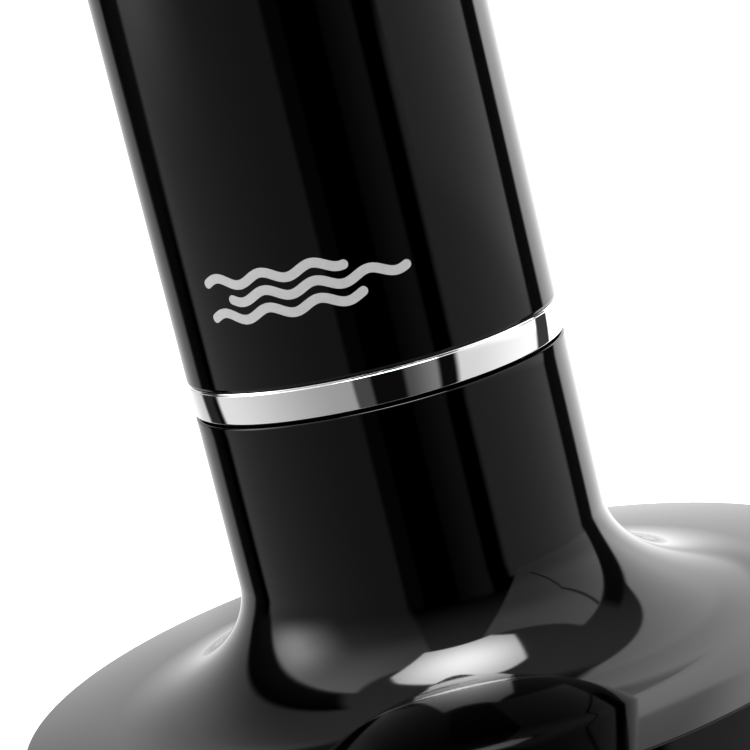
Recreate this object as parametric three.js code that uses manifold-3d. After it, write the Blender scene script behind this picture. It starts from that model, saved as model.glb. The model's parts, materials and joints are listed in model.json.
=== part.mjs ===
// Tower fan: a slim round column that swings on a wide trumpet-shaped base.
// Millimetres, +Z up. The origin is on the floor under the column's axis, and the front faces -Y.
// Azimuths are degrees from the front, growing towards +X.
import * as THREE from "three";
import { mergeVertices } from "three/addons/utils/BufferGeometryUtils.js";
import Module from "manifold-3d";

// ---------------------------------------------------------------- driving dimensions

const COLUMN_R = 63;
const BASE_R = 148;
const TOTAL_H = 1016;
const WALL = 2.4;
const GAP = 0.3;

// Base: upright edge, gently sloping top, elliptical flare and neck
const RIM_BOTTOM = 3.3;
const EDGE_Z = 20.6;
const EDGE_ROUND = 1;
const BASE_SLOPE = 4.5;
const FLARE_ACROSS = 60;
const FLARE_UP = 38;
const NECK_TOP = 120;
const FOOT_H = 3;
const FOOT_COUNT = 5;
const FOOT_CIRCLE_R = 128;
const PLATE_T = 2.5;
const BALLAST_T = 6;

// Swing joint, at the top of the neck
const LEDGE_Z = NECK_TOP - 9.3;
const LEDGE_R = 48;
const LEDGE_T = 4;
const BULKHEAD_Z = LEDGE_Z + GAP;
const BULKHEAD_T = 4;
const SPINDLE_R = 14.5;
const SPINDLE_BORE_R = 11;
const SPINDLE_TOP = NECK_TOP + 17;
const GEAR_MODULE = 1.5;
const FIXED_TEETH = 32;
const PINION_TEETH = 12;
const GEAR_T = 5.2;
const TURNTABLE_Z = NECK_TOP + 2;
const TURNTABLE_T = 5;

// Column, from the chrome ring up
const RING_Z = NECK_TOP + 1;
const RING_H = 10.5;
const LOWER_TOP = 262;
const SHELL_TOP = 905;
const HEAD_TOP = 1000;
const WINDOW_Z = [282, 888];
const FRONT_WINDOW = 40;
const REAR_WINDOW = 62;
const SEAM_AZIMUTH = 90;

// Blower
const WHEEL_R = 41;
const WHEEL_Z = [268, 888];
const BLADE_COUNT = 16;
const DISC_COUNT = 4;
const SHAFT_R = 4;
const MOTOR_R = 42;
const MOTOR_Z = 160;

// Controls
const PANEL_R = 44.7;
const PANEL_Z = [1011.3, 1014.6];
const BUTTON_ARC_R = 27;
const BUTTON_R = 6;
const POWER_R = 8;
const BOARD_Z = 1000;
const DISPLAY_AZIMUTH = 20;
const DISPLAY_Z = [935, 975];
const GRIP_HALF_W = 36.5;
const GRIP_Z = [930, 972];
const GRIP_BACK_Y = 26;

const ROUND = 32;
const MIDDLE_ROUND = 20;
const SMALL_ROUND = 12;
const COLUMN_BORE_R = COLUMN_R - WALL;

// ---------------------------------------------------------------- helpers

const wasm = await Module();
wasm.setup();

const rad = THREE.MathUtils.degToRad;

/** The point at an azimuth and radius, seen from above. */
function at(azimuth, radius) {
  return new THREE.Vector2(radius * Math.sin(rad(azimuth)), -radius * Math.cos(rad(azimuth)));
}

/** Evenly spaced azimuths of a circle of n things. */
function around(n, first = 0) {
  return Array.from({ length: n }, (_, i) => first + (360 * i) / n);
}

/** Points [r, z] along an arc of a turned profile, angles in degrees from the +r direction. */
function arcPoints(centre, radius, from, to, steps) {
  return Array.from({ length: steps + 1 }, (_, i) => {
    const angle = rad(from + ((to - from) * i) / steps);
    return [centre[0] + radius * Math.cos(angle), centre[1] + radius * Math.sin(angle)];
  });
}

/** A solid of revolution about Z. The profile [r, z] runs up the outside and down the inside. */
function turned(profile, segments = ROUND) {
  const closed = profile[0][0] < 1e-6 ? profile : [...profile, profile[0]];
  const points = closed.map(([r, z]) => new THREE.Vector2(r, z));
  return new THREE.LatheGeometry(points, segments).rotateX(Math.PI / 2);
}

function disc(radius, z0, z1, segments = ROUND) {
  return turned([[0, z0], [radius, z0], [radius, z1], [0, z1]], segments);
}

function tube(inner, outer, z0, z1, segments = ROUND) {
  return turned([[outer, z0], [outer, z1], [inner, z1], [inner, z0]], segments);
}

/** A flat shape drawn from above, extruded from z0 to z1. */
function prism(shape, z0, z1) {
  return new THREE.ExtrudeGeometry(shape, { depth: z1 - z0, bevelEnabled: false }).translate(0, 0, z0);
}

/** The corners of a circle, as seen from above. */
function circle(radius, segments = SMALL_ROUND, centre = new THREE.Vector2()) {
  return around(segments).map((azimuth) => at(azimuth, radius).add(centre));
}

/** A round plate with a hole in its middle and smaller holes at the given centres. */
function plate(radius, bore, z0, z1, holes = []) {
  const shape = new THREE.Shape(circle(radius, ROUND));
  if (bore) shape.holes.push(new THREE.Path(circle(bore, MIDDLE_ROUND)));
  for (const hole of holes) {
    shape.holes.push(new THREE.Path(circle(hole.radius, SMALL_ROUND, hole.centre)));
  }
  return prism(shape, z0, z1);
}

/** A wall that follows the column, between two azimuths. */
function curvedWall(inner, outer, from, to, z0, z1) {
  const steps = Math.ceil((ROUND * (to - from)) / 360);
  const azimuths = Array.from({ length: steps + 1 }, (_, i) => from + ((to - from) * i) / steps);
  const outside = azimuths.map((azimuth) => at(azimuth, outer));
  const inside = azimuths.map((azimuth) => at(azimuth, inner)).reverse();
  return prism(new THREE.Shape([...outside, ...inside]), z0, z1);
}

function block(size, centre) {
  return new THREE.BoxGeometry(...size).translate(...centre);
}

function solid(geometry) {
  const bare = geometry.clone();
  bare.deleteAttribute("normal");
  bare.deleteAttribute("uv");
  const merged = mergeVertices(bare, 1e-4);
  return new wasm.Manifold(new wasm.Mesh({
    numProp: 3,
    vertProperties: merged.attributes.position.array,
    triVerts: new Uint32Array(merged.index.array),
  }));
}

function geometryOf(made) {
  const { vertProperties, triVerts } = made.getMesh();
  return new THREE.BufferGeometry()
    .setAttribute("position", new THREE.BufferAttribute(vertProperties, 3))
    .setIndex(new THREE.BufferAttribute(triVerts, 1));
}

function join(...geometries) {
  return geometryOf(geometries.map(solid).reduce((a, b) => a.add(b)));
}

function cut(geometry, ...tools) {
  return geometryOf(tools.map(solid).reduce((a, b) => a.subtract(b), solid(geometry)));
}

function common(a, b) {
  return geometryOf(solid(a).intersect(solid(b)));
}

// ---------------------------------------------------------------- materials

const plastic = (color, roughness) =>
  new THREE.MeshStandardMaterial({ color, roughness, metalness: 0 });
const metal = (color, roughness) =>
  new THREE.MeshStandardMaterial({ color, roughness, metalness: 1 });

const GLOSS_BLACK = plastic(0x080808, 0.08);
const SATIN_BLACK = plastic(0x151515, 0.45);
const CHROME = metal(0xe6e7e8, 0.05);
const STEEL = metal(0x8d9094, 0.35);
const NYLON = plastic(0xe4e0d2, 0.5);
const RUBBER = plastic(0x101010, 0.8);
const BOARD_GREEN = plastic(0x14502e, 0.5);
const SMOKED = plastic(0x050506, 0.05);

const fan = new THREE.Group();

function add(name, geometry, material, parent = fan) {
  const mesh = new THREE.Mesh(geometry, material);
  mesh.name = name;
  parent.add(mesh);
  return mesh;
}

/** A pan-head screw pointing down from the origin: the head's underside is at z = 0. */
function screw(length) {
  const profile = [[0, -length], [1.6, -length + 3], [1.6, 0], [3.2, 0], [2.6, 1.5], [0, 1.5]];
  return turned(profile, 8);
}

// ---------------------------------------------------------------- base

const coverScrewSpots = around(4, 45).map((azimuth) => at(azimuth, 134));
const footSpots = around(FOOT_COUNT).map((azimuth) => at(azimuth, FOOT_CIRCLE_R));
const GLAND_R = 4.2;
const GLAND_Z = 10.4;

/** One skin of the cover, inset from the outside: edge, slope, flare and neck. */
function coverSkin(inset, top, flareSteps) {
  const slope = rad(BASE_SLOPE);
  const sweep = Math.atan2(FLARE_UP, FLARE_ACROSS * Math.tan(slope));
  const slopeR = COLUMN_R + FLARE_ACROSS * (1 - Math.cos(sweep));
  const slopeZ = EDGE_Z + (BASE_R - slopeR) * Math.tan(slope);
  const middleZ = slopeZ + FLARE_UP * Math.sin(sweep);
  const flare = Array.from({ length: flareSteps + 1 }, (_, i) => {
    const turn = sweep * (1 - i / flareSteps);
    const r = COLUMN_R + FLARE_ACROSS * (1 - Math.cos(turn));
    const z = middleZ - FLARE_UP * Math.sin(turn);
    const inwards = new THREE.Vector2(-FLARE_UP * Math.cos(turn), -FLARE_ACROSS * Math.sin(turn));
    inwards.setLength(inset);
    return [r + inwards.x, z + inwards.y];
  });
  const edgeZ = EDGE_Z - inset / Math.cos(slope) + inset * Math.tan(slope);
  return [
    [BASE_R - inset, RIM_BOTTOM],
    [BASE_R - inset, edgeZ - EDGE_ROUND],
    [BASE_R - inset - EDGE_ROUND, edgeZ],
    ...flare,
    [COLUMN_R - inset, top],
  ];
}

/** The one-piece cover, with a ledge in the neck for the bulkhead and bosses for its floor. */
function baseCover() {
  const ledgeBottom = LEDGE_Z - LEDGE_T;
  const inside = coverSkin(WALL, ledgeBottom, 4).reverse();
  const ledge = [
    [COLUMN_BORE_R, NECK_TOP], [COLUMN_BORE_R, LEDGE_Z], [LEDGE_R, LEDGE_Z], [LEDGE_R, ledgeBottom],
  ];
  const shell = turned([...coverSkin(0, NECK_TOP, 8), ...ledge, ...inside]);
  const bossTop = EDGE_Z - 0.5;
  const atScrews = (part) => coverScrewSpots.map(({ x, y }) => part.clone().translate(x, y, 0));
  const bosses = atScrews(disc(4.5, 6.2, bossTop, SMALL_ROUND));
  const bossBores = atScrews(disc(1.9, 6, bossTop - 2, SMALL_ROUND));
  const glandBore = disc(GLAND_R + GAP, -20, 20, SMALL_ROUND).rotateX(Math.PI / 2)
    .translate(0, BASE_R, GLAND_Z);
  return cut(join(shell, ...bosses), ...bossBores, glandBore);
}

function basePlate() {
  const holes = [
    ...footSpots.map((centre) => ({ centre, radius: 4.4 })),
    ...coverScrewSpots.map((centre) => ({ centre, radius: 1.9 })),
  ];
  return plate(BASE_R - WALL - 0.8, 0, RIM_BOTTOM, RIM_BOTTOM + PLATE_T, holes);
}

/** A rubber foot: a pad under the floor plate, held by a stud through it. */
function foot() {
  return turned([[0, 0], [10.5, 0], [11, FOOT_H], [4, FOOT_H], [4, 8.3], [0, 8.3]], SMALL_ROUND);
}

/** The bush in the back of the rim that the supply cord passes through. */
function cordGland() {
  const profile = [[GLAND_R, -4.5], [GLAND_R, 2.6], [3.2, 2.6], [3.2, -4.5]];
  return turned(profile, SMALL_ROUND).rotateX(-Math.PI / 2).translate(0, BASE_R - 3.4, GLAND_Z);
}

add("base_cover", baseCover(), GLOSS_BLACK);
add("base_plate", basePlate(), SATIN_BLACK);
add("ballast_ring", tube(48, 118, 6.2, 6.2 + BALLAST_T), STEEL);
add("cord_gland", cordGland(), RUBBER);
footSpots.forEach(({ x, y }, i) => {
  add(`foot_${i + 1}`, foot(), RUBBER).position.set(x, y, 0);
});
coverScrewSpots.forEach(({ x, y }, i) => {
  const part = add(`base_plate_screw_${i + 1}`, screw(10), STEEL);
  part.rotation.x = Math.PI;
  part.position.set(x, y, RIM_BOTTOM - GAP);
});

// ---------------------------------------------------------------- swing joint

/** Half of a tooth's angle at radius r, for an involute tooth with a 20 degree pressure angle. */
function toothHalfAngle(r, pitchR, baseR, halfAtPitch) {
  const involute = (radius) => {
    const pressure = Math.acos(Math.min(1, baseR / radius));
    return Math.tan(pressure) - pressure;
  };
  return halfAtPitch + involute(pitchR) - involute(Math.max(r, baseR));
}

/** A spur gear with backlash. A tooth points along `first`, in degrees from +X. */
function spurGear(teeth, bore, z0, first = 0) {
  const backlash = 0.35;
  const pitchR = (teeth * GEAR_MODULE) / 2;
  const baseR = pitchR * Math.cos(rad(20));
  const rootR = pitchR - 1.25 * GEAR_MODULE;
  const tipR = pitchR + 0.9 * GEAR_MODULE;
  const halfAtPitch = (Math.PI * GEAR_MODULE / 2 - backlash) / 2 / pitchR;
  const flank = [rootR, pitchR, tipR];
  const outline = [];
  for (let i = 0; i < teeth; i++) {
    const middle = rad(first) + (2 * Math.PI * i) / teeth;
    const side = (r, sign) => {
      const angle = middle + sign * toothHalfAngle(r, pitchR, baseR, halfAtPitch);
      return new THREE.Vector2(r * Math.cos(angle), r * Math.sin(angle));
    };
    outline.push(...flank.map((r) => side(r, -1)), ...flank.map((r) => side(r, 1)).reverse());
  }
  const shape = new THREE.Shape(outline);
  if (bore) shape.holes.push(new THREE.Path(circle(bore, MIDDLE_ROUND)));
  return prism(shape, z0, z0 + GEAR_T);
}

const FIXED_GEAR_Z = BULKHEAD_Z + BULKHEAD_T + GAP;
const PINION_X = (GEAR_MODULE * (FIXED_TEETH + PINION_TEETH)) / 2;
const SWING_MOTOR_X = 36.5;
const SWING_MOTOR_R = 17.5;
const SWING_MOTOR_Z = TURNTABLE_Z + TURNTABLE_T + GAP;
const SWING_EAR_Y = 22;

/** A hollow spindle: a flange under the bulkhead, and a tube that the turntable turns on. */
function spindle() {
  const flange = LEDGE_Z - LEDGE_T;
  return turned([
    [22, flange], [22, LEDGE_Z], [SPINDLE_R, LEDGE_Z], [SPINDLE_R, SPINDLE_TOP],
    [SPINDLE_BORE_R, SPINDLE_TOP], [SPINDLE_BORE_R, flange],
  ], MIDDLE_ROUND);
}

function turntable() {
  const holes = [
    { centre: new THREE.Vector2(PINION_X, 0), radius: 4.4 },
    { centre: new THREE.Vector2(SWING_MOTOR_X, SWING_EAR_Y), radius: 1.9 },
    { centre: new THREE.Vector2(SWING_MOTOR_X, -SWING_EAR_Y), radius: 1.9 },
  ];
  return plate(COLUMN_R - 4.9, SPINDLE_R + GAP, TURNTABLE_Z, TURNTABLE_Z + TURNTABLE_T, holes);
}

/** The pinion with its stem, which runs up through the turntable into the motor. */
function pinion() {
  const toothFacingFixedGear = 180 + 180 / PINION_TEETH;
  const stem = disc(4, FIXED_GEAR_Z + GEAR_T - 1, SWING_MOTOR_Z + 4, SMALL_ROUND);
  return join(spurGear(PINION_TEETH, 0, FIXED_GEAR_Z, toothFacingFixedGear), stem)
    .translate(PINION_X, 0, 0);
}

/** A flat geared motor with two screw ears, standing on the turntable. */
function swingMotor() {
  const body = disc(SWING_MOTOR_R, SWING_MOTOR_Z, SWING_MOTOR_Z + 15, MIDDLE_ROUND);
  const ears = block([8, 2 * SWING_EAR_Y + 8, 1], [0, 0, SWING_MOTOR_Z + 0.5]);
  const earBores = [SWING_EAR_Y, -SWING_EAR_Y].map((y) => (
    disc(1.9, SWING_MOTOR_Z - 1, SWING_MOTOR_Z + 2, 8).translate(0, y, 0)
  ));
  const stemBore = disc(4.4, SWING_MOTOR_Z - 1, SWING_MOTOR_Z + 5, SMALL_ROUND)
    .translate(PINION_X - SWING_MOTOR_X, 0, 0);
  return cut(join(body, ears), ...earBores, stemBore).translate(SWING_MOTOR_X, 0, 0);
}

const bulkhead = plate(COLUMN_BORE_R - 0.8, SPINDLE_R + GAP, BULKHEAD_Z, BULKHEAD_Z + BULKHEAD_T);
add("neck_bulkhead", bulkhead, SATIN_BLACK);
add("spindle", spindle(), STEEL);
add("fixed_gear", spurGear(FIXED_TEETH, SPINDLE_R + GAP, FIXED_GEAR_Z), NYLON);
const washer = tube(SPINDLE_R + GAP, 22, FIXED_GEAR_Z + GEAR_T + GAP, TURNTABLE_Z - GAP, MIDDLE_ROUND);
add("thrust_washer", washer, NYLON);
add("turntable", turntable(), SATIN_BLACK);
add("spindle_collar", tube(SPINDLE_R + GAP, 18.2, SWING_MOTOR_Z, SWING_MOTOR_Z + 4.5, MIDDLE_ROUND), STEEL);
add("swing_pinion", pinion(), NYLON);
add("swing_motor", swingMotor(), STEEL);

// ---------------------------------------------------------------- lower column and motor

const MOTOR_PLATE_Z = 222;
const STATOR_Z = [MOTOR_Z + 10, MOTOR_Z + 45];
const MOTOR_TOP = STATOR_Z[1] + 10;

/** The bright ring at the swing joint: its upper outer edge is bevelled. */
function chromeRing() {
  const top = RING_Z + RING_H;
  return turned([
    [COLUMN_R - 4.5, RING_Z], [COLUMN_R - 0.3, RING_Z], [COLUMN_R, RING_Z + 0.4], [COLUMN_R, top - 0.9],
    [COLUMN_R - 0.8, top], [COLUMN_R - 4.5, top],
  ]);
}

/** The plain lower column, with a ledge inside that carries the motor plate. */
function lowerHousing() {
  const bottom = RING_Z + RING_H + GAP;
  const ledge = MOTOR_PLATE_Z - GAP;
  return turned([
    [COLUMN_R - 0.7, bottom], [COLUMN_R, bottom + 0.8], [COLUMN_R, LOWER_TOP],
    [COLUMN_BORE_R, LOWER_TOP], [COLUMN_BORE_R, ledge], [55, ledge], [55, ledge - 3],
    [COLUMN_BORE_R, ledge - 7], [COLUMN_BORE_R, bottom],
  ]);
}

/** A motor end bell around the shaft. It is drawn for the lower end, and turned over for the upper. */
function endBell() {
  return turned([
    [SHAFT_R + GAP, 0], [14, 0], [36, 2], [MOTOR_R, 5], [MOTOR_R, 9.7],
    [MOTOR_R - 3, 9.7], [MOTOR_R - 3, 6], [SHAFT_R + GAP, 5],
  ], MIDDLE_ROUND);
}

/** The rotor core on its shaft, which reaches up into the wheel's hub. */
function motorRotor() {
  const core = [STATOR_Z[0] + 1, STATOR_Z[1] - 1];
  return turned([
    [0, MOTOR_Z - 4], [SHAFT_R, MOTOR_Z - 4], [SHAFT_R, core[0]], [24, core[0]], [24, core[1]],
    [SHAFT_R, core[1]], [SHAFT_R, WHEEL_Z[0] + 10], [0, WHEEL_Z[0] + 10],
  ], MIDDLE_ROUND);
}

const standoffSpots = around(3, 30).map((azimuth) => at(azimuth, 30));

add("chrome_ring", chromeRing(), CHROME);
add("lower_housing", lowerHousing(), GLOSS_BLACK);
add("motor_stator", tube(24.6, MOTOR_R, ...STATOR_Z, MIDDLE_ROUND), STEEL);
add("motor_lower_bell", endBell(), SATIN_BLACK).position.z = MOTOR_Z;
const upperBell = add("motor_upper_bell", endBell(), SATIN_BLACK);
upperBell.rotation.x = Math.PI;
upperBell.position.z = MOTOR_TOP;
add("motor_rotor", motorRotor(), STEEL);
add("motor_plate", plate(COLUMN_BORE_R - 0.5, 16, MOTOR_PLATE_Z, MOTOR_PLATE_Z + 3), STEEL);
standoffSpots.forEach(({ x, y }, i) => {
  const mount = disc(5, MOTOR_TOP - 0.7, MOTOR_PLATE_Z - GAP, SMALL_ROUND);
  add(`motor_rubber_mount_${i + 1}`, mount.translate(x, y, 0), RUBBER);
});

// ---------------------------------------------------------------- blower

const HUB_R = 12;

/** The crossflow wheel: straight blades set on the slant between stacked discs. */
function crossflowWheel() {
  const [z0, z1] = WHEEL_Z;
  const discT = 2;
  const step = (z1 - z0 - discT) / (DISC_COUNT - 1);
  const discs = Array.from({ length: DISC_COUNT }, (_, i) => {
    const bore = i === 0 || i === DISC_COUNT - 1 ? HUB_R + GAP : 30;
    return tube(bore, WHEEL_R, z0 + i * step, z0 + i * step + discT, MIDDLE_ROUND);
  });
  const blades = around(BLADE_COUNT).map((azimuth) => {
    const { x, y } = at(azimuth, WHEEL_R - 5.2);
    return new THREE.BoxGeometry(1.2, 9, z1 - z0 - 0.2)
      .rotateZ(rad(azimuth + 35)).translate(x, y, (z0 + z1) / 2);
  });
  return join(...discs, ...blades);
}

/** The rubber hub that joins the wheel's lower disc to the motor shaft. */
function lowerHub() {
  const z = WHEEL_Z[0];
  return turned([
    [HUB_R, z - 3], [HUB_R, z + 10], [SHAFT_R + GAP, z + 10], [SHAFT_R + GAP, z - 3],
  ], 16);
}

/** The axle that carries the wheel's upper disc in the top bush. */
function topAxle() {
  const z = WHEEL_Z[1];
  const profile = [
    [0, z - 8], [HUB_R, z - 8], [HUB_R, z + 2], [SHAFT_R, z + 3], [SHAFT_R, z + 15], [0, z + 15],
  ];
  return turned(profile, 16);
}

/** The rear guide of the air duct: a wall that winds away from the wheel towards the outlet. */
function scrollWall() {
  const steps = 10;
  const radiusAt = (azimuth) => 44 + (14 * (118 - azimuth)) / 76;
  const azimuths = Array.from({ length: steps + 1 }, (_, i) => 42 + (76 * i) / steps);
  const inner = azimuths.map((azimuth) => at(azimuth, radiusAt(azimuth)));
  const outer = azimuths.map((azimuth) => at(azimuth, radiusAt(azimuth) + 1.6)).reverse();
  return prism(new THREE.Shape([...inner, ...outer]), LOWER_TOP + 4, SHELL_TOP - 12);
}

/** The wedge opposite the guide, which keeps the air from going round again. */
function tongue() {
  const outline = [at(-46, 44), at(-42, 57.5), at(-52, 58.5), at(-70, 58.5), at(-66, 56), at(-56, 47)];
  return prism(new THREE.Shape(outline.reverse()), LOWER_TOP + 4, SHELL_TOP - 12);
}

add("duct_floor", plate(COLUMN_BORE_R - 0.5, 16, LOWER_TOP + 0.6, LOWER_TOP + 3.4), SATIN_BLACK);
add("crossflow_wheel", crossflowWheel(), SATIN_BLACK);
add("wheel_lower_hub", lowerHub(), RUBBER);
add("wheel_top_axle", topAxle(), STEEL);
add("top_bush", tube(SHAFT_R + GAP, 10, SHELL_TOP - 11.4, SHELL_TOP - 5, MIDDLE_ROUND), RUBBER);
const bearingPlate = plate(COLUMN_BORE_R - 0.5, 10 + GAP, SHELL_TOP - 11.4, SHELL_TOP - 8.4);
add("top_bearing_plate", bearingPlate, SATIN_BLACK);
add("scroll_wall", scrollWall(), SATIN_BLACK);
add("scroll_tongue", tongue(), SATIN_BLACK);

// ---------------------------------------------------------------- column shells and grilles

const shellZ = [LOWER_TOP + GAP, SHELL_TOP];
const shellScrewSpots = [[-105, 300], [105, 300], [-105, 870], [105, 870]];

/** A cylinder across the wall, pointing outwards at an azimuth and height. */
function wallBore(radius, azimuth, z) {
  const { x, y } = at(azimuth, COLUMN_R);
  return disc(radius, -6, 6, SMALL_ROUND).rotateX(Math.PI / 2).rotateZ(rad(azimuth)).translate(x, y, z);
}

/** A half shell with a window, centred on an azimuth. */
function halfShell(middle, windowHalf) {
  const reach = SEAM_AZIMUTH - 0.2;
  const wall = curvedWall(COLUMN_BORE_R, COLUMN_R, middle - reach, middle + reach, ...shellZ);
  const window = curvedWall(50, 70, middle - windowHalf, middle + windowHalf, ...WINDOW_Z);
  return cut(wall, window);
}

/** A window grille: upright bars in front of hoops, inside a thin frame. */
function grille(middle, half, bars, hoops) {
  const reach = half - 0.4;
  const [z0, z1] = [WINDOW_Z[0] + GAP, WINDOW_Z[1] - GAP];
  const hoopStep = (z1 - z0 - 3) / (hoops - 1);
  const made = Array.from({ length: hoops }, (_, i) => {
    const z = z0 + i * hoopStep;
    return curvedWall(COLUMN_R - 4.4, COLUMN_R - 1.8, middle - reach, middle + reach, z, z + 3);
  });
  for (let i = 0; i < bars; i++) {
    const azimuth = middle - reach + 1 + ((2 * reach - 2) * i) / (bars - 1);
    const { x, y } = at(azimuth, COLUMN_R - 1.6);
    const bar = new THREE.BoxGeometry(i % (bars - 1) ? 1.6 : 2, 2.6, z1 - z0);
    made.push(bar.rotateZ(rad(azimuth)).translate(x, y, (z0 + z1) / 2));
  }
  return join(...made);
}

add("front_shell", halfShell(0, FRONT_WINDOW), GLOSS_BLACK);
add("rear_shell", cut(
  halfShell(180, REAR_WINDOW),
  ...shellScrewSpots.map(([azimuth, z]) => wallBore(1.9, azimuth, z)),
), GLOSS_BLACK);
add("front_grille", grille(0, FRONT_WINDOW, 13, 3), SATIN_BLACK);
add("rear_grille", grille(180, REAR_WINDOW, 15, 3), SATIN_BLACK);
shellScrewSpots.forEach(([azimuth, z], i) => {
  const { x, y } = at(azimuth, COLUMN_R + GAP);
  const part = add(`shell_screw_${i + 1}`, screw(9).rotateX(Math.PI / 2), STEEL);
  part.rotation.z = rad(azimuth);
  part.position.set(x, y, z);
});

// ---------------------------------------------------------------- head and controls

const buttons = [
  { name: "button_power", spot: new THREE.Vector2(0, 6), radius: POWER_R },
  { name: "button_speed", spot: at(-54, BUTTON_ARC_R), radius: BUTTON_R },
  { name: "button_mode", spot: at(-18, BUTTON_ARC_R), radius: BUTTON_R },
  { name: "button_timer", spot: at(18, BUTTON_ARC_R), radius: BUTTON_R },
  { name: "button_swing", spot: at(54, BUTTON_ARC_R), radius: BUTTON_R },
];

/** A box that reaches from the hand grip's back out past the column. */
function gripBlock(inset, back) {
  const height = GRIP_Z[1] - GRIP_Z[0] - 2 * inset;
  const depth = COLUMN_R + 10 - back;
  const centre = [0, back + depth / 2, (GRIP_Z[0] + GRIP_Z[1]) / 2];
  return block([2 * (GRIP_HALF_W - inset), depth, height], centre);
}

function headHousing() {
  const shell = tube(COLUMN_BORE_R, COLUMN_R, SHELL_TOP + GAP, HEAD_TOP);
  const displayOpening = curvedWall(50, 70, -DISPLAY_AZIMUTH, DISPLAY_AZIMUTH, ...DISPLAY_Z);
  return cut(shell, displayOpening, gripBlock(-GAP, 40));
}

/** The recess for a hand in the back of the head, open to the rear. */
function handGrip() {
  const cup = cut(gripBlock(0, GRIP_BACK_Y), gripBlock(2.4, GRIP_BACK_Y + 2.4));
  return common(cup, disc(COLUMN_R - 0.4, GRIP_Z[0] - 5, GRIP_Z[1] + 5));
}

function topCap() {
  const round = 9;
  const skirt = COLUMN_BORE_R;
  return turned([
    [COLUMN_R, HEAD_TOP + GAP],
    ...arcPoints([COLUMN_R - round, TOTAL_H - round], round, 0, 90, 4),
    [45, TOTAL_H], [45, PANEL_Z[0] - GAP], [41, PANEL_Z[0] - GAP],
    [41, PANEL_Z[0] - 3], [58, PANEL_Z[0] - 3], [skirt, PANEL_Z[0] - 6], [skirt, HEAD_TOP + GAP],
  ]);
}

/** The round panel, with three posts under it for the board. */
function controlPanel() {
  const holes = buttons.map(({ spot, radius }) => ({ centre: spot, radius: radius + GAP }));
  const face = plate(PANEL_R, 0, ...PANEL_Z, holes);
  const posts = [90, 180, 270].map((azimuth) => {
    const { x, y } = at(azimuth, 34);
    return disc(2.5, BOARD_Z + 1.6 + GAP, PANEL_Z[0] + 0.5, 8).translate(x, y, 0);
  });
  return join(face, ...posts);
}

/** The board under the panel, with a switch under each button. */
function controlBoard() {
  const switches = buttons.map(({ spot }) => block([6, 6, 4], [spot.x, spot.y, BOARD_Z + 3.2]));
  return join(disc(38.5, BOARD_Z, BOARD_Z + 1.6, MIDDLE_ROUND), ...switches);
}

/** A push button: cap, retaining flange under the panel, and stem. */
function button(radius) {
  const under = PANEL_Z[0] - 0.4;
  return turned([
    [0, under - 4.3], [2.5, under - 4.3], [2.5, under - 1.4],
    [radius + 1.4, under - 1.4], [radius + 1.4, under],
    [radius, under], [radius, TOTAL_H - 1], [radius - 0.6, TOTAL_H - 0.5], [0, TOTAL_H - 0.5],
  ], SMALL_ROUND);
}

add("head_housing", headHousing(), GLOSS_BLACK);
add("hand_grip", handGrip(), SATIN_BLACK);
add("display_window", curvedWall(
  COLUMN_BORE_R, COLUMN_R - 0.2, -DISPLAY_AZIMUTH + 0.3, DISPLAY_AZIMUTH - 0.3,
  DISPLAY_Z[0] + GAP, DISPLAY_Z[1] - GAP,
), SMOKED);
add("display_board", block([32, 3, 30], [0, -55, (DISPLAY_Z[0] + DISPLAY_Z[1]) / 2]), BOARD_GREEN);
add("top_cap", topCap(), GLOSS_BLACK);
add("control_panel", controlPanel(), SMOKED);
add("control_board", controlBoard(), BOARD_GREEN);
for (const { name, spot, radius } of buttons) {
  add(name, button(radius), SATIN_BLACK).position.set(spot.x, spot.y, 0);
}

export default fan;
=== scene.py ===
"""Looks of the tower fan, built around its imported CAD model. Metres, +Z up, the front faces -Y.

Azimuths are degrees from the front, growing towards +X. Elevations are degrees above the horizon.
"""

import json
import math

import bmesh
import bpy
from mathutils import Matrix, Vector


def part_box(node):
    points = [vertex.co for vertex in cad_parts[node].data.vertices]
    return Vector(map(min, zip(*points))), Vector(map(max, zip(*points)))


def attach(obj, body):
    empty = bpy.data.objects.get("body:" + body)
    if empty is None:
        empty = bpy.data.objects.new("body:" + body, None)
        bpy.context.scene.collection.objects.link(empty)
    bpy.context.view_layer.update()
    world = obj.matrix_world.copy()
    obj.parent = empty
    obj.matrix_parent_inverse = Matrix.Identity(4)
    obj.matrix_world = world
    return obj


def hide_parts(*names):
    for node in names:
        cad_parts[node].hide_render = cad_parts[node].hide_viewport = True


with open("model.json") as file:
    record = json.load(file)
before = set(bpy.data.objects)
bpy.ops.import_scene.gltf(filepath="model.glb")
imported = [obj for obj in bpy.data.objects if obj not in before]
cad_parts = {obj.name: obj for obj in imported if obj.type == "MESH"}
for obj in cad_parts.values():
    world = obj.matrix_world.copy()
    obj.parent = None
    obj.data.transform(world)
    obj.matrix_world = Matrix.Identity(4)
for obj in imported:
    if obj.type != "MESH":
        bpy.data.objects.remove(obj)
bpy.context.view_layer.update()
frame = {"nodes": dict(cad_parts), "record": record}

MM = 0.001
# segments round a turned piece: the outer skins, middling pieces and small ones
SMOOTH = 256
MIDDLE = 96
SMALL = 48
# the clearance between pieces, and the covers' wall
GAP = 0.3 * MM
WALL = 2.4 * MM
SHARP_ANGLE = math.radians(32)
# a pierced wall's grid: the steps in a corner's arc, and the most between two lines in degrees and metres
CORNER_STEPS = 8
GRID_AZIMUTH = 2
GRID_HEIGHT = 0.02
GRID_HEIGHT_BESIDE_WINDOW = 0.06


# ---------------------------------------------------------------- sizes taken from the frame

def low(node):
    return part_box(node)[0]


def high(node):
    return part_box(node)[1]


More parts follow.
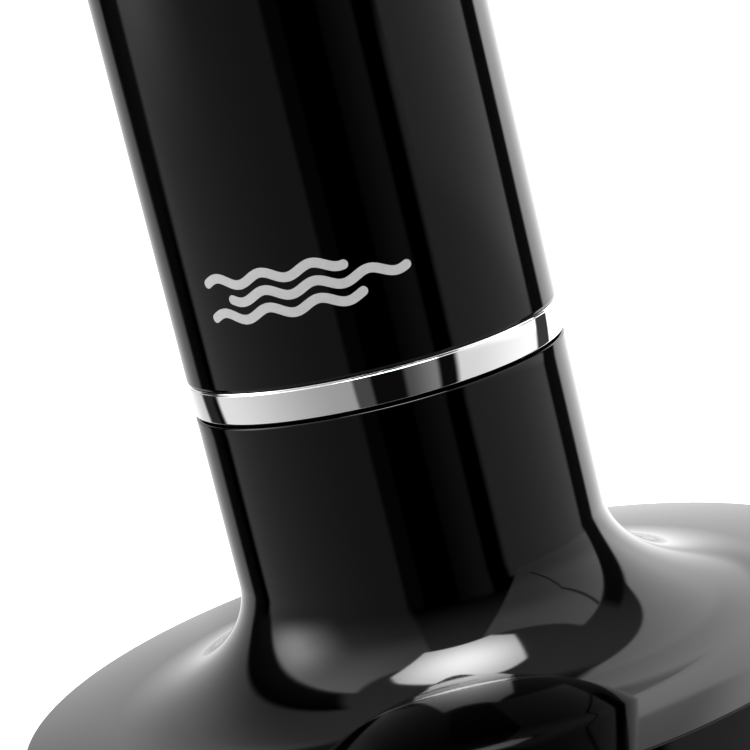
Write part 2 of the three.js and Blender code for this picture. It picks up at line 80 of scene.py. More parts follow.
COLUMN_R = high("chrome_ring").x
BORE_R = COLUMN_R - WALL
RING_LOW = low("chrome_ring").z
RING_HIGH = high("chrome_ring").z
NECK_TOP = high("base_cover").z
RIM_LOW = low("base_cover").z
BASE_R = high("base_cover").x
SHELL_LOW = low("front_shell").z
SHELL_HIGH = high("front_shell").z
HEAD_LOW = low("head_housing").z
HEAD_HIGH = high("head_housing").z
TOP = high("top_cap").z


# ---------------------------------------------------------------- mesh helpers

def at(azimuth, radius, z=0.0):
    """The point at an azimuth, radius and height."""
    turn = math.radians(azimuth)
    return Vector((radius * math.sin(turn), -radius * math.cos(turn), z))


def spread(first, last, most):
    """Numbers from first to last, no further than `most` apart."""
    steps = max(1, math.ceil(abs(last - first) / most - 1e-6))
    return [first + (last - first) * i / steps for i in range(steps + 1)]


def new_object(name, mesh):
    made = bpy.data.objects.new(name, mesh)
    bpy.context.scene.collection.objects.link(made)
    return made


def mesh_object(name, points, faces):
    """A smooth-shaded object whose faces point out and whose hard edges stay hard."""
    mesh = bpy.data.meshes.new(name)
    mesh.from_pydata([tuple(p) for p in points], [], faces)
    finish_mesh(mesh)
    return new_object(name, mesh)


def finish_mesh(mesh):
    work = bmesh.new()
    work.from_mesh(mesh)
    bmesh.ops.remove_doubles(work, verts=work.verts, dist=1e-7)
    bmesh.ops.recalc_face_normals(work, faces=work.faces)
    work.to_mesh(mesh)
    work.free()
    mesh.shade_smooth()
    mesh.set_sharp_from_angle(angle=SHARP_ANGLE)


def rounded(corners, steps=6):
    """An outline of (r, z, fillet) corners as (r, z) points, each corner rounded by its fillet radius."""
    count = len(corners)
    made = []
    for i, (r, z, fillet) in enumerate(corners):
        here = Vector((r, z))
        before = Vector(corners[i - 1][:2]) - here
        after = Vector(corners[(i + 1) % count][:2]) - here
        if fillet <= 0 or before.length < 1e-9 or after.length < 1e-9:
            made.append((r, z))
            continue
        corner_angle = before.angle(after)
        back = min(fillet / math.tan(corner_angle / 2), 0.49 * before.length, 0.49 * after.length)
        radius = back * math.tan(corner_angle / 2)
        middle = here + (before.normalized() + after.normalized()).normalized() * (
            radius / math.sin(corner_angle / 2)
        )
        first = here + before.normalized() * back - middle
        turn = (math.pi - corner_angle) * (1 if first.cross(here - middle) > 0 else -1)
        for k in range(steps + 1):
            angle = turn * k / steps
            made.append(tuple(middle + Matrix.Rotation(angle, 2) @ first))
    return made


def arc(centre, radius, first, last, steps):
    """Points (r, z) on an arc, its angles in degrees from the +r direction."""
    angles = [math.radians(first + (last - first) * i / steps) for i in range(steps + 1)]
    return [(centre[0] + radius * math.cos(a), centre[1] + radius * math.sin(a)) for a in angles]


def turned(name, outline, segments=SMOOTH):
    """A closed outline (r, z) turned about Z. Points on the axis become the two poles."""
    points, faces, rings = [], [], []
    for r, z in outline:
        if r < 1e-6:
            rings.append([len(points)] * segments)
            points.append((0, 0, z))
        else:
            rings.append([len(points) + k for k in range(segments)])
            points += [at(360 * k / segments, r, z) for k in range(segments)]
    for i, ring in enumerate(rings):
        above = rings[(i + 1) % len(rings)]
        for k in range(segments):
            n = (k + 1) % segments
            corners = list(dict.fromkeys((ring[k], ring[n], above[n], above[k])))
            if len(corners) > 2:
                faces.append(corners)
    return mesh_object(name, points, faces)


def merged(name, parts):
    """Several objects as one mesh object."""
    work = bmesh.new()
    for part in parts:
        part.data.transform(part.matrix_basis)
        work.from_mesh(part.data)
        bpy.data.objects.remove(part)
    mesh = bpy.data.meshes.new(name)
    work.to_mesh(mesh)
    work.free()
    finish_mesh(mesh)
    return new_object(name, mesh)


def bevelled(obj, width, segments=3, angle=35):
    """Rounds an object's hard edges."""
    modifier = obj.modifiers.new("rounded_edges", "BEVEL")
    modifier.width = width
    modifier.segments = segments
    modifier.limit_method = "ANGLE"
    modifier.angle_limit = math.radians(angle)
    modifier.harden_normals = True
    return obj


def applied(obj):
    """The object with its modifiers applied."""
    bpy.context.view_layer.update()
    evaluated = obj.evaluated_get(bpy.context.evaluated_depsgraph_get())
    mesh = bpy.data.meshes.new_from_object(evaluated)
    obj.modifiers.clear()
    obj.data = mesh
    return obj


def carved(obj, cutters):
    """The object with the cutters' shapes taken out of it."""
    for cutter in cutters:
        cut = obj.modifiers.new("cut", "BOOLEAN")
        cut.operation = "DIFFERENCE"
        cut.solver = "EXACT"
        cut.object = cutter
    applied(obj)
    for cutter in cutters:
        bpy.data.objects.remove(cutter)
    finish_mesh(obj.data)
    return obj


def box_object(name, size, centre):
    """A box of a size about its centre."""
    x, y, z = (s / 2 for s in size)
    signs = [(a, b, c) for c in (-1, 1) for b in (-1, 1) for a in (-1, 1)]
    points = [Vector(centre) + Vector((a * x, b * y, c * z)) for a, b, c in signs]
    faces = [(0, 2, 3, 1), (4, 5, 7, 6), (0, 1, 5, 4), (2, 6, 7, 3), (0, 4, 6, 2), (1, 3, 7, 5)]
    return mesh_object(name, points, faces)


def plate(name, outlines, z0, z1):
    """A flat plate from z0 to z1. The first outline [(x, y)] is its edge and the rest are holes."""
    curve = bpy.data.curves.new(name, "CURVE")
    curve.dimensions = "2D"
    curve.fill_mode = "BOTH"
    curve.extrude = (z1 - z0) / 2
    for outline in outlines:
        spline = curve.splines.new("POLY")
        spline.points.add(len(outline) - 1)
        for point, (x, y) in zip(spline.points, outline):
            point.co = (x, y, 0, 1)
        spline.use_cyclic_u = True
    drawn = new_object(name, curve)
    bpy.context.view_layer.update()
    mesh = bpy.data.meshes.new_from_object(drawn.evaluated_get(bpy.context.evaluated_depsgraph_get()))
    bpy.data.objects.remove(drawn)
    mesh.transform(Matrix.Translation((0, 0, (z0 + z1) / 2)))
    finish_mesh(mesh)
    return new_object(name, mesh)


def circle(radius, segments, x=0.0, y=0.0):
    """A circle's outline [(x, y)]."""
    spots = [at(360 * k / segments, radius) for k in range(segments)]
    return [(p.x + x, p.y + y) for p in spots]


def pierced_wall(name, radius, azimuths, heights, window, corner):
    """A wall round the column between two azimuths and heights, with one round-cornered window.

    The window is (azimuth from, azimuth to, low, high). Grid lines pass through the corner arcs, so
    each corner is exactly round, and close along every edge, so the rounding there stays narrow. A wall
    of 360 degrees closes on itself.
    """
    w_from, w_to, w_low, w_high = window
    guard = 0.9 * MM
    guard_angle = math.degrees(guard / radius)
    corner_angle = math.degrees(corner / radius)
    inward = [1 - math.cos(math.radians(90 * i / CORNER_STEPS)) for i in range(CORNER_STEPS + 1)]
    columns = [w_from + corner_angle * s for s in inward] + [w_to - corner_angle * s for s in inward]
    columns += spread(azimuths[0], w_from, GRID_AZIMUTH) + spread(w_to, azimuths[1], GRID_AZIMUTH)
    columns += spread(w_from + corner_angle, w_to - corner_angle, GRID_AZIMUTH)
    columns += [w_from - guard_angle, w_to + guard_angle]
    rows = [w_low + corner * s for s in inward] + [w_high - corner * s for s in inward]
    rows += spread(heights[0], w_low, GRID_HEIGHT) + spread(w_high, heights[1], GRID_HEIGHT)
    rows += spread(w_low + corner, w_high - corner, GRID_HEIGHT_BESIDE_WINDOW)
    rows += [w_low - guard, w_high + guard]
    rows += [heights[0] + guard, heights[1] - guard]
    columns = sorted({round(a, 6) for a in columns})
    rows = sorted({round(z, 8) for z in rows})

    def in_window(azimuth, z):
        past = abs(azimuth - (w_from + w_to) / 2) - (w_to - w_from) / 2 + corner_angle
        x = math.radians(past) * radius
        y = abs(z - (w_low + w_high) / 2) - (w_high - w_low) / 2 + corner
        if x > 0 and y > 0:
            return math.hypot(x, y) < corner - 1e-6
        return x < corner - 1e-6 and y < corner - 1e-6

    closed = abs(azimuths[1] - azimuths[0] - 360) < 1e-6
    count = len(columns) - 1 if closed else len(columns)
    points = [at(a, radius, z) for z in rows for a in columns[:count]]
    faces = []
    for j in range(len(rows) - 1):
        for i in range(len(columns) - 1):
            cell = [(i, j), (i + 1, j), (i + 1, j + 1), (i, j + 1)]
            kept = [(a, b) for a, b in cell if not in_window(columns[a], rows[b])]
            middle = ((columns[i] + columns[i + 1]) / 2, (rows[j] + rows[j + 1]) / 2)
            if len(kept) == 3 or (len(kept) == 4 and not in_window(*middle)):
                faces.append([b * count + a % count for a, b in kept])
    wall = mesh_object(name, points, faces)
    if wall.data.polygons[0].normal.dot(wall.data.polygons[0].center * Vector((1, 1, 0))) < 0:
        wall.data.flip_normals()
    solid = wall.modifiers.new("wall", "SOLIDIFY")
    solid.thickness = WALL
    solid.offset = -1
    bevelled(wall, 0.5 * MM, 3, 50)
    return applied(wall)


def ribbon(name, lines, width, place, thickness=0.06 * MM):
    """Strokes of even width with round ends. Each line is [(u, v)]; place(u, v, h) puts it in space."""
    points, faces = [], []
    for line in lines:
        path = [Vector(p) for p in line]
        closed = (path[0] - path[-1]).length < 1e-9
        if closed:
            path = path[:-1]
        edges = []
        for i, here in enumerate(path):
            ahead = path[(i + 1) % len(path)] if closed else path[min(i + 1, len(path) - 1)]
            behind = path[i - 1] if closed or i > 0 else path[0]
            along = (ahead - behind).normalized()
            side = Vector((-along.y, along.x)) * width / 2
            edges.append((here + side, here - side))
        if not closed:
            edges = cap(path, width, 0)[::-1] + edges + cap(path, width, -1)
        start = len(points)
        for left, right in edges:
            points += [place(left.x, left.y, thickness), place(right.x, right.y, thickness)]
            points += [place(left.x, left.y, 0), place(right.x, right.y, 0)]
        pairs = len(edges) if closed else len(edges) - 1
        for i in range(pairs):
            a = start + 4 * i
            b = start + 4 * ((i + 1) % len(edges))
            faces += [(a, b, b + 1, a + 1), (a + 2, a + 3, b + 3, b + 2)]
            faces += [(a, a + 2, b + 2, b), (a + 1, b + 1, b + 3, a + 3)]
        if not closed:
            last = start + 4 * (len(edges) - 1)
            faces += [(start, start + 1, start + 3, start + 2), (last, last + 2, last + 3, last + 1)]
    return mesh_object(name, points, faces)


def cap(path, width, end):
    """The narrowing rows of a stroke's round end."""
    tip = path[end]
    along = (path[0] - path[1] if end == 0 else path[-1] - path[-2]).normalized()
    travel = -along if end == 0 else along
    side = Vector((-travel.y, travel.x)) * width / 2
    rows = []
    for k in range(1, 6):
        angle = math.radians(17 * k)
        middle = tip + along * (width / 2) * math.sin(angle)
        rows.append((middle + side * math.cos(angle), middle - side * math.cos(angle)))
    return rows


# ---------------------------------------------------------------- materials

RANGE_SOCKETS = ("From Min", "From Max", "To Min", "To Max")


class Nodes:
    """A short way to write a material's nodes."""

    def __init__(self, name, colour, roughness, metallic=0.0):
        self.material = bpy.data.materials.new(name)
        self.material.use_nodes = True
        self.tree = self.material.node_tree
        self.shader = self.tree.nodes["Principled BSDF"]
        self.material.diffuse_color = (*colour, 1)
        self.set("Base Color", (*colour, 1))
        self.set("Roughness", roughness)
        self.set("Metallic", metallic)
        self.place = self.add("ShaderNodeTexCoord").outputs["Object"]
        self.colour = colour

    def add(self, kind, **inputs):
        node = self.tree.nodes.new(kind)
        for name, value in inputs.items():
            self.link(value, node.inputs[name.replace("_", " ")])
        return node

    def link(self, value, socket):
        if isinstance(value, bpy.types.NodeSocket):
            self.tree.links.new(value, socket)
        else:
            socket.default_value = value

    def set(self, name, value):
        self.link(value, self.shader.inputs[name])

    def noise(self, scale, detail=4.0, roughness=0.5, stretch=None):
        place = self.place
        if stretch:
            mapping = self.add("ShaderNodeMapping", Vector=place)
            mapping.inputs["Scale"].default_value = stretch
            place = mapping.outputs["Vector"]
        made = self.add("ShaderNodeTexNoise", Vector=place, Scale=scale, Detail=detail, Roughness=roughness)
        return made.outputs["Fac"]

    def span(self, value, low_in, high_in, low_out, high_out):
        made = self.add("ShaderNodeMapRange", Value=value)
        for name, number in zip(RANGE_SOCKETS, (low_in, high_in, low_out, high_out)):
            made.inputs[name].default_value = number
        return made.outputs["Result"]

    def mix(self, factor, first, second):
        made = self.tree.nodes.new("ShaderNodeMix")
        made.data_type = "RGBA"
        self.link(factor, made.inputs["Factor"])
        self.link(first, made.inputs["A"])
        self.link(second, made.inputs["B"])
        return made.outputs["Result"]

    def bump(self, height, distance, strength=1.0, under=None):
        made = self.add("ShaderNodeBump", Height=height, Distance=distance, Strength=strength)
        if under:
            self.link(under, made.inputs["Normal"])
        return made.outputs["Normal"]

    def edge_wear(self, first, last):
        """A mask of the places where the surface bends outwards sharply."""
        pointy = self.add("ShaderNodeNewGeometry").outputs["Pointiness"]
        return self.span(pointy, first, last, 0.0, 1.0)


def shade(rgb, factor):
    """A colour made darker or lighter, with its alpha."""
    return (*[c * factor for c in rgb], 1)


def gloss_black():
    """Piano-black ABS: deep, mirror-like, with the slight waviness and haze of a moulding."""
    m = Nodes("gloss_black_plastic", (0.0008, 0.0008, 0.00085), 0.06)
    haze = m.noise(9, 3)
    smudge = m.noise(60, 5, 0.6)
    m.set("Roughness", m.span(smudge, 0.35, 0.75, 0.035, 0.075))
    m.set("Base Color", m.mix(haze, shade(m.colour, 0.8), shade(m.colour, 1.35)))
    wave = m.bump(m.noise(14, 1), 0.00006, 1.0)
    m.set("Normal", m.bump(m.noise(900, 2), 0.0000006, 1.0, wave))
    m.set("IOR", 1.5)
    return m.material


def satin_black():
    """Spark-eroded satin plastic."""
    m = Nodes("satin_black_plastic", (0.012, 0.012, 0.0125), 0.45)
    grain = m.noise(1400, 3, 0.6)
    patch = m.noise(25, 4)
    worn = m.edge_wear(0.53, 0.62)
    plain = m.mix(patch, shade(m.colour, 0.8), shade(m.colour, 1.25))
    m.set("Base Color", m.mix(worn, plain, (0.035, 0.035, 0.036, 1)))
    m.set("Roughness", m.span(patch, 0.3, 0.7, 0.4, 0.5))
    m.set("Normal", m.bump(grain, 0.00006, 0.6))
    return m.material


def chrome():
    """Bright plating over plastic, with faint wiping marks."""
    m = Nodes("chrome_plating", (0.9, 0.9, 0.91), 0.03, 1.0)
    smudge = m.noise(120, 5, 0.6)
    m.set("Roughness", m.span(smudge, 0.4, 0.8, 0.015, 0.06))
    m.set("Base Color", m.mix(m.noise(40, 3), (0.86, 0.86, 0.87, 1), (0.93, 0.93, 0.935, 1)))
    m.set("Normal", m.bump(m.noise(45, 1), 0.00002, 1.0))
    return m.material


def steel():
    """Zinc-plated steel with drawing marks."""
    m = Nodes("plated_steel", (0.5, 0.51, 0.53), 0.3, 1.0)
    marks = m.noise(120, 6, 0.7, (1, 1, 12))
    m.set("Roughness", m.span(marks, 0.3, 0.7, 0.22, 0.42))
    m.set("Base Color", m.mix(marks, shade(m.colour, 0.82), shade(m.colour, 1.12)))
    m.set("Normal", m.bump(marks, 0.00003, 0.5))
    return m.material


def nylon():
    m = Nodes("natural_nylon", (0.72, 0.69, 0.6), 0.5)
    patch = m.noise(70, 4)
    m.set("Base Color", m.mix(patch, shade(m.colour, 0.88), shade(m.colour, 1.05)))
    m.set("Roughness", m.span(patch, 0.3, 0.7, 0.42, 0.58))
    m.set("Normal", m.bump(m.noise(900, 2), 0.00002, 0.5))
    m.set("Subsurface Weight", 0.1)
    m.set("Subsurface Radius", (0.002, 0.002, 0.0015))
    return m.material


def rubber():
    m = Nodes("black_rubber", (0.018, 0.018, 0.018), 0.8)
    dust = m.noise(200, 6, 0.7)
    m.set("Base Color", m.mix(m.span(dust, 0.45, 0.8, 0, 1), shade(m.colour, 0.8), (0.06, 0.058, 0.054, 1)))
    m.set("Roughness", m.span(dust, 0.3, 0.7, 0.7, 0.92))
    m.set("Normal", m.bump(m.noise(1600, 3), 0.00008, 0.7))
    return m.material


def smoked():
    """Smoked acrylic over black."""
    m = Nodes("smoked_acrylic", (0.006, 0.006, 0.0075), 0.04)
    smudge = m.noise(80, 5, 0.6)
    m.set("Roughness", m.span(smudge, 0.4, 0.8, 0.02, 0.07))
    m.set("Base Color", m.mix(m.noise(30, 3), shade(m.colour, 0.7), shade(m.colour, 1.3)))
    m.set("Normal", m.bump(m.noise(12, 1), 0.00003, 1.0))
    m.set("Coat Weight", 0.5)
    m.set("Coat Roughness", 0.02)
    return m.material


def circuit_board():
    """Green solder mask with copper tracks showing through."""
    m = Nodes("solder_mask", (0.01, 0.09, 0.03), 0.35)
    brick = m.add("ShaderNodeTexBrick", Vector=m.place, Scale=160.0)
    brick.inputs["Color1"].default_value = shade(m.colour, 1.0)
    brick.inputs["Color2"].default_value = shade(m.colour, 1.6)
    brick.inputs["Mortar"].default_value = (0.03, 0.16, 0.05, 1)
    brick.inputs["Mortar Size"].default_value = 0.03
    m.set("Base Color", brick.outputs["Color"])
    m.set("Roughness", m.span(m.noise(300, 3), 0.3, 0.7, 0.28, 0.45))
    m.set("Normal", m.bump(brick.outputs["Fac"], 0.00004, 0.5))
    return m.material


def printed():
    """Pad-printed light grey ink."""
    m = Nodes("light_grey_ink", (0.38, 0.38, 0.38), 0.35)
    patch = m.noise(800, 4)
    m.set("Base Color", m.mix(patch, shade(m.colour, 0.93), shade(m.colour, 1.05)))
    m.set("Roughness", m.span(patch, 0.3, 0.7, 0.3, 0.42))
    m.set("Normal", m.bump(patch, 0.000005, 0.5))
    return m.material


MATERIALS = {
    "gloss_black": gloss_black(),
    "satin_black": satin_black(),
    "chrome": chrome(),
    "steel": steel(),
    "nylon": nylon(),
    "rubber": rubber(),
    "smoked_panel": smoked(),
    "circuit_board": circuit_board(),
    "print": printed(),
}


def dress(piece, body, slot, *nodes):
    """Gives a piece the material of its slot and its body, and hides the CAD nodes that it stands for."""
    piece.data.materials.clear()
    piece.data.materials.append(MATERIALS[slot])
    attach(piece, body)
    if nodes:
        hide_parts(*nodes)
    return piece


for part in frame["record"]["subparts"]:
    cad = frame["nodes"][part["node"]]
    cad.data.materials.clear()
    cad.data.materials.append(MATERIALS[part["material_slot"]])
    cad.data.shade_smooth()
    cad.data.set_sharp_from_angle(angle=SHARP_ANGLE)


# ---------------------------------------------------------------- base

# the cover's flare is part of an ellipse with these half-axes
FLARE_ACROSS = 60 * MM
FLARE_UP = 38 * MM
# the top of its upright edge, the rounding there, and its top's slope in degrees
EDGE_Z = 20.6 * MM
EDGE_ROUND = 1 * MM
BASE_SLOPE = 4.5


def base_cover():
    """The trumpet-shaped cover: upright edge, sloping top, flare and neck, then its inner skin back down.

    The flare is part of an ellipse, upright where it meets the neck and sloped where it meets the top.
    """
    slope = math.radians(BASE_SLOPE)
    last = math.atan2(FLARE_UP, FLARE_ACROSS * math.tan(slope))
    end_r = COLUMN_R + FLARE_ACROSS * (1 - math.cos(last))
    end_z = EDGE_Z + (BASE_R - end_r) * math.tan(slope)
    middle_z = end_z + FLARE_UP * math.sin(last)

    def flare(depth, steps):
        made = []
        for i in range(steps + 1):
            turn = last * (1 - i / steps)
            skin = Vector((FLARE_UP * math.cos(turn), FLARE_ACROSS * math.sin(turn))).normalized() * depth
            r = COLUMN_R + FLARE_ACROSS * (1 - math.cos(turn))
            made.append((r - skin.x, middle_z - FLARE_UP * math.sin(turn) - skin.y))
        return made

    skin_z = EDGE_Z - WALL / math.cos(slope)
    edge = rounded([
        (BASE_R - WALL, skin_z, 0), (BASE_R - WALL, RIM_LOW, 0.2 * MM), (BASE_R, RIM_LOW, 0.3 * MM),
        (BASE_R, EDGE_Z, EDGE_ROUND), (end_r, end_z, 0),
    ], 6)[:-1]
    top = rounded([
        (COLUMN_R, NECK_TOP - 4 * MM, 0), (COLUMN_R, NECK_TOP, 0.8 * MM), (BORE_R, NECK_TOP, 0.2 * MM),
        (BORE_R, NECK_TOP - 4 * MM, 0),
    ], 5)
    cover = turned("cover_of_base", edge + flare(0, 64) + top + flare(WALL, 32)[::-1])
    gland_low, gland_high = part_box("cord_gland")
    bore = (gland_high.x - gland_low.x) / 2 + GAP
    cutter = turned("cutter", [(0, 0), (bore, 0), (bore, 30 * MM), (0, 30 * MM)], SMALL)
    cutter.data.transform(Matrix.Rotation(-math.pi / 2, 4, "X"))
    cutter.location = (0, gland_low.y - GAP, (gland_low.z + gland_high.z) / 2)
    return carved(cover, [cutter])


dress(base_cover(), "base", "gloss_black", "base_cover")


def foot(index):
    """A rubber foot: a tread with a groove round its underside, and the stud that holds it."""
    node = f"foot_{index}"
    middle = (low(node) + high(node)) / 2
    r = (high(node).x - low(node).x) / 2
    groove, tread, stud_r, stud_top = 0.6 * MM, 3 * MM, 4 * MM, 8.3 * MM
    outline = rounded([
        (0, 0, 0), (r * 0.45, 0, 0.3 * MM), (r * 0.5, groove, 0.3 * MM), (r * 0.62, groove, 0.3 * MM),
        (r * 0.67, 0, 0.3 * MM), (r - 0.5 * MM, 0, 0.8 * MM), (r, tread, 0.5 * MM), (stud_r, tread, 0),
        (stud_r, stud_top, 0.8 * MM), (0, stud_top, 0),
    ], 4)
    made = turned(f"rubber_foot_{index}", outline, SMALL)
    made.location = (middle.x, middle.y, 0)
    return dress(made, "base", "rubber", node)


for number in range(1, 6):
    foot(number)


SCREW_SHANK_R = 1.6 * MM
SCREW_HEAD_R = 3.2 * MM
SCREW_HEAD_UP = 1.5 * MM


def screw(name, length):
    """A pan-head screw with a cross recess, pointing down from z = 0."""
    outline = rounded([
        (0, -length, 0), (SCREW_SHANK_R, -length + 3 * MM, 0), (SCREW_SHANK_R, 0, 0),
        (SCREW_HEAD_R, 0, 0.2 * MM), (2.7 * MM, SCREW_HEAD_UP, 0.7 * MM), (0, SCREW_HEAD_UP, 0),
    ], 4)
    middle = (0, 0, 1.7 * MM)
    long_side, short_side, depth = 3.4 * MM, 0.7 * MM, 2 * MM
    cross = [
        box_object("cutter", (long_side, short_side, depth), middle),
        box_object("cutter", (short_side, long_side, depth), middle),
    ]
    return carved(turned(name, outline, 32), cross)


for number in range(1, 5):
    node = f"base_plate_screw_{number}"
    middle = (low(node) + high(node)) / 2
    made = screw(f"cover_screw_{number}", 10 * MM)
    made.data.transform(Matrix.Rotation(math.pi, 4, "X"))
    made.location = (middle.x, middle.y, low(node).z + SCREW_HEAD_UP)
    dress(made, "base", "steel", node)


# ---------------------------------------------------------------- ring and lower column

def chrome_ring():
    """The plated ring: a faintly crowned band with a small step along its top."""
    inner = COLUMN_R - 4.5 * MM
    step = COLUMN_R - 0.4 * MM
    outline = rounded([
        (inner, RING_LOW, 0.2 * MM), (COLUMN_R - 0.1 * MM, RING_LOW, 0.45 * MM),
        (COLUMN_R, (RING_LOW + RING_HIGH) / 2, 0), (COLUMN_R, RING_HIGH - 0.75 * MM, 0.35 * MM),
        (step, RING_HIGH - 0.7 * MM, 0.1 * MM), (step - 0.05 * MM, RING_HIGH, 0.4 * MM),
        (inner, RING_HIGH, 0.2 * MM),
    ], 5)
    return turned("plated_ring", outline)


def lower_housing():
    """The plain lower end of the column, with a small shoulder above the ring."""
    bottom = low("lower_housing").z
    top = high("lower_housing").z
    outline = rounded([
        (BORE_R, bottom, 0), (COLUMN_R - 0.3 * MM, bottom, 0.25 * MM),
        (COLUMN_R, bottom + 0.9 * MM, 0.5 * MM), (COLUMN_R, top, 0.5 * MM), (BORE_R, top, 0.2 * MM),
    ], 5)
    return turned("lower_column", outline)


dress(chrome_ring(), "column", "chrome", "chrome_ring")
dress(lower_housing(), "column", "gloss_black", "lower_housing")


def air_mark():
    """A plain printed sign on the front: three streams of air."""
    bottom = RING_LOW + 35 * MM
    swell, wavelength, stroke, steps = 1.4 * MM, 17 * MM, 3.1 * MM, 60
    # each stream's start, from the front's middle, and its length, in mm along the skin
    streams = ((-34, 52), (-25, 58), (-34, 48))
    lines = []
    for row, (start, length) in enumerate(streams):
        z = bottom + (0.5 + 5.6 * row) * MM
        line = []
        for i in range(steps + 1):
            u = (start + length * i / steps) * MM
            line.append((u, z + swell * math.sin(2 * math.pi * u / wavelength)))
        lines.append(line)

    def place(u, z, h):
        return at(math.degrees(u / COLUMN_R), COLUMN_R + h, z)

    return ribbon("printed_air_sign", lines, stroke, place)


dress(air_mark(), "column", "print")


# ---------------------------------------------------------------- shells and grilles

WINDOW_Z = (low("front_grille").z - GAP, high("front_grille").z + GAP)
# half the windows' and the shells' widths in degrees, and the windows' corner radius
FRONT_WINDOW = 40
REAR_WINDOW = 62
SEAM = 89.8
CORNER = 7 * MM


def half_shell(name, middle, window_half):
    """One half of the column's skin, with its grille's window."""
    made = pierced_wall(
        name, COLUMN_R, (-SEAM, SEAM), (SHELL_LOW, SHELL_HIGH),
        (-window_half, window_half, *WINDOW_Z), CORNER,
    )
    made.data.transform(Matrix.Rotation(math.radians(middle), 4, "Z"))
    return made


def bar_section(width, depth):
    """The outline of an upright bar: flat sides and a round front."""
    front = [
        (
            width / 2 * math.cos(math.radians(a)),
            -depth / 2 + width / 2 - width / 2 * math.sin(math.radians(a)),
        )
        for a in (0, 30, 60, 90, 120, 150, 180)
    ]
    return front + [(-width / 2, depth / 2), (width / 2, depth / 2)]


def upright(name, azimuth, radius, width, depth, z0, z1):
    """An upright bar that faces outwards."""
    section = bar_section(width, depth)
    turn = Matrix.Rotation(math.radians(azimuth), 4, "Z")
    middle = at(azimuth, radius)
    points = []
    for z in (z0, z1):
        points += [turn @ Vector((x, y, 0)) + middle + Vector((0, 0, z)) for x, y in section]
    n = len(section)
    faces = [(k, (k + 1) % n, (k + 1) % n + n, k + n) for k in range(n)]
    faces += [tuple(range(n)), tuple(range(n, 2 * n))]
    return mesh_object(name, points, faces)


def band(name, inner, outer, azimuths, z0, z1, edge=0.35 * MM):
    """A strip of rectangular section with eased edges, bent round the column."""
    section = rounded([(inner, z0, edge), (outer, z0, edge), (outer, z1, edge), (inner, z1, edge)], 2)
    stops = spread(*azimuths, 2)
    points = [at(a, r, z) for a in stops for r, z in section]
    n = len(section)
    faces = []
    for i in range(len(stops) - 1):
        for k in range(n):
            a, b = i * n + k, i * n + (k + 1) % n
            faces.append((a, b, b + n, a + n))
    faces += [tuple(range(n)), tuple(range((len(stops) - 1) * n, len(stops) * n))]
    return mesh_object(name, points, faces)


def grille(name, middle, half, bars, hoops):
    """Upright bars on hoops, the lowest and highest hoop being the frame's ends."""
    reach = half - 0.4
    margin = 1
    hoop_up, end_up = 2 * MM, 3 * MM
    z0, z1 = WINDOW_Z[0] + GAP, WINDOW_Z[1] - GAP
    parts = []
    for i in range(hoops):
        z = z0 + (z1 - z0 - end_up) * i / (hoops - 1)
        span = (middle - reach, middle + reach)
        if 0 < i < hoops - 1:
            parts.append(band("hoop", COLUMN_R - 4.2 * MM, COLUMN_R - 2.2 * MM, span, z, z + hoop_up))
        else:
            parts.append(band("end", COLUMN_R - 4.4 * MM, COLUMN_R - 0.7 * MM, span, z, z + end_up))
    for i in range(bars):
        azimuth = middle - reach + margin + (2 * reach - 2 * margin) * i / (bars - 1)
        width = 1.6 if 0 < i < bars - 1 else 2.0
        parts.append(upright("bar", azimuth, COLUMN_R - 1.6 * MM, width * MM, 2.6 * MM, z0, z1))
    return merged(name, parts)


dress(half_shell("front_half_shell", 0, FRONT_WINDOW), "column", "gloss_black", "front_shell")
dress(half_shell("rear_half_shell", 180, REAR_WINDOW), "column", "gloss_black", "rear_shell")
dress(grille("outlet_grille", 0, FRONT_WINDOW, 25, 9), "column", "satin_black", "front_grille")
dress(grille("intake_grille", 180, REAR_WINDOW, 29, 9), "column", "satin_black", "rear_grille")

for number in range(1, 5):
    node = f"shell_screw_{number}"
    middle = (low(node) + high(node)) / 2
    azimuth = math.degrees(math.atan2(middle.x, -middle.y))
    made = screw(f"rear_screw_{number}", 9 * MM)
    outwards = Matrix.Rotation(math.radians(azimuth), 4, "Z") @ Matrix.Rotation(math.pi / 2, 4, "X")
    made.data.transform(outwards)
    made.location = at(azimuth, COLUMN_R + GAP, middle.z)
    dress(made, "column", "steel", node)


# ---------------------------------------------------------------- blower wheel

